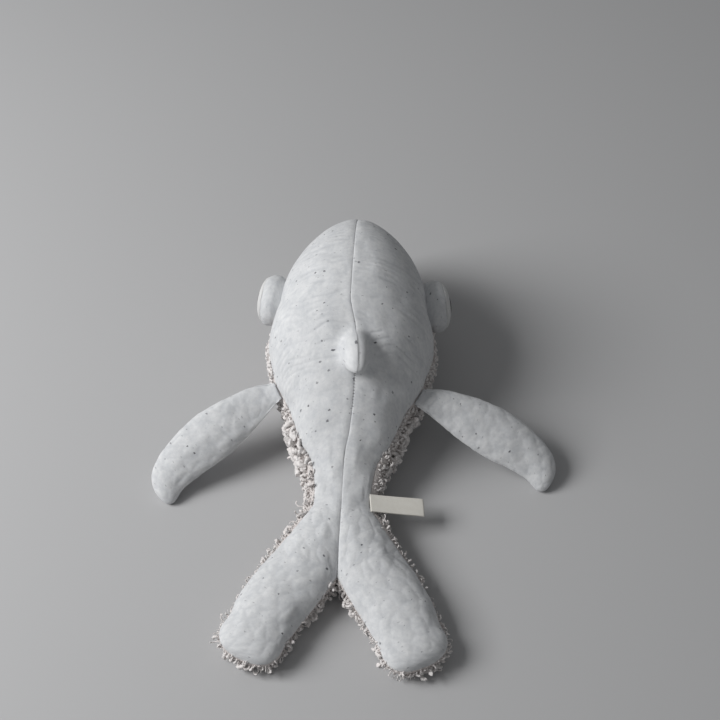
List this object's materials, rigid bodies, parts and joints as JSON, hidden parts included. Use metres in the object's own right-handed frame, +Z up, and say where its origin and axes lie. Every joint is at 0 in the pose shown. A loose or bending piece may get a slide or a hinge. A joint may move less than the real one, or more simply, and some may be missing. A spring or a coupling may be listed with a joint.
{
  "type": "plush whale",
  "caption": "Soft stuffed toy whale in grey-white jersey with a curly fleece belly, swinging flippers, a bending tail and a folded side label",
  "frame": {"origin": "middle of the flat patch of belly that the whale rests on, on the floor", "axes": "+X towards the whale's right, +Y towards its nose, +Z up from the floor"},
  "size_m": [0.4178, 0.508, 0.165],
  "materials": {
    "speckled_jersey": "soft matte jersey with a faint grey mottle and scattered small dark flecks",
    "curly_fleece": "curly fleece in a warm pinkish cream, matte",
    "stuffing": "white fibre filling, matte",
    "eye_jersey": "plain pale jersey, matte",
    "dark_felt": "dark felt, matte",
    "cotton_tape": "woven cream tape, matte"
  },
  "bodies": {
    "body": {"body_filling": "stuffing", "belly_panel": "curly_fleece", "back_panel_left": "speckled_jersey", "back_panel_right": "speckled_jersey", "dorsal_fin_filling": "stuffing", "dorsal_fin_left": "speckled_jersey", "dorsal_fin_right": "speckled_jersey", "eye_back_left": "speckled_jersey", "eye_back_right": "speckled_jersey", "eye_face_left": "eye_jersey", "eye_face_right": "eye_jersey", "eye_filling_left": "stuffing", "eye_filling_right": "stuffing", "pupil_left": "dark_felt", "pupil_right": "dark_felt"},
    "flipper_left": {"flipper_upper_left": "speckled_jersey", "flipper_lower_left": "speckled_jersey", "flipper_filling_left": "stuffing"},
    "flipper_right": {"flipper_upper_right": "speckled_jersey", "flipper_lower_right": "speckled_jersey", "flipper_filling_right": "stuffing"},
    "tail": {"tail_panel_left": "speckled_jersey", "tail_panel_right": "speckled_jersey", "tail_underside_left": "curly_fleece", "tail_underside_right": "curly_fleece", "fluke_filling_left": "stuffing", "fluke_filling_right": "stuffing"},
    "label": {"label": "cotton_tape"}
  },
  "joints": [
    {"name": "flipper_left_swing", "type": "hinge", "parent": "body", "child": "flipper_left", "pos_m": [-0.07487, -0.03555, 0.06449], "axis": [-0.4396, 0.8801, 0.1794], "range_deg": [-30, 75]},
    {"name": "flipper_right_swing", "type": "hinge", "parent": "body", "child": "flipper_right", "pos_m": [0.07487, -0.03555, 0.06449], "axis": [-0.4396, -0.8801, -0.1794], "range_deg": [-30, 75]},
    {"name": "tail_bend", "type": "hinge", "parent": "body", "child": "tail", "pos_m": [0, -0.155, 0.02392], "axis": [-1, 0, 0], "range_deg": [-25, 30], "stiffness_Nm_per_rad": 0.4},
    {"name": "label_flap", "type": "hinge", "parent": "tail", "child": "label", "pos_m": [0.03214, -0.15118, 0.03722], "axis": [0.2046, -0.9691, -0.1382], "range_deg": [-30, 80], "stiffness_Nm_per_rad": 0.002}
  ]
}
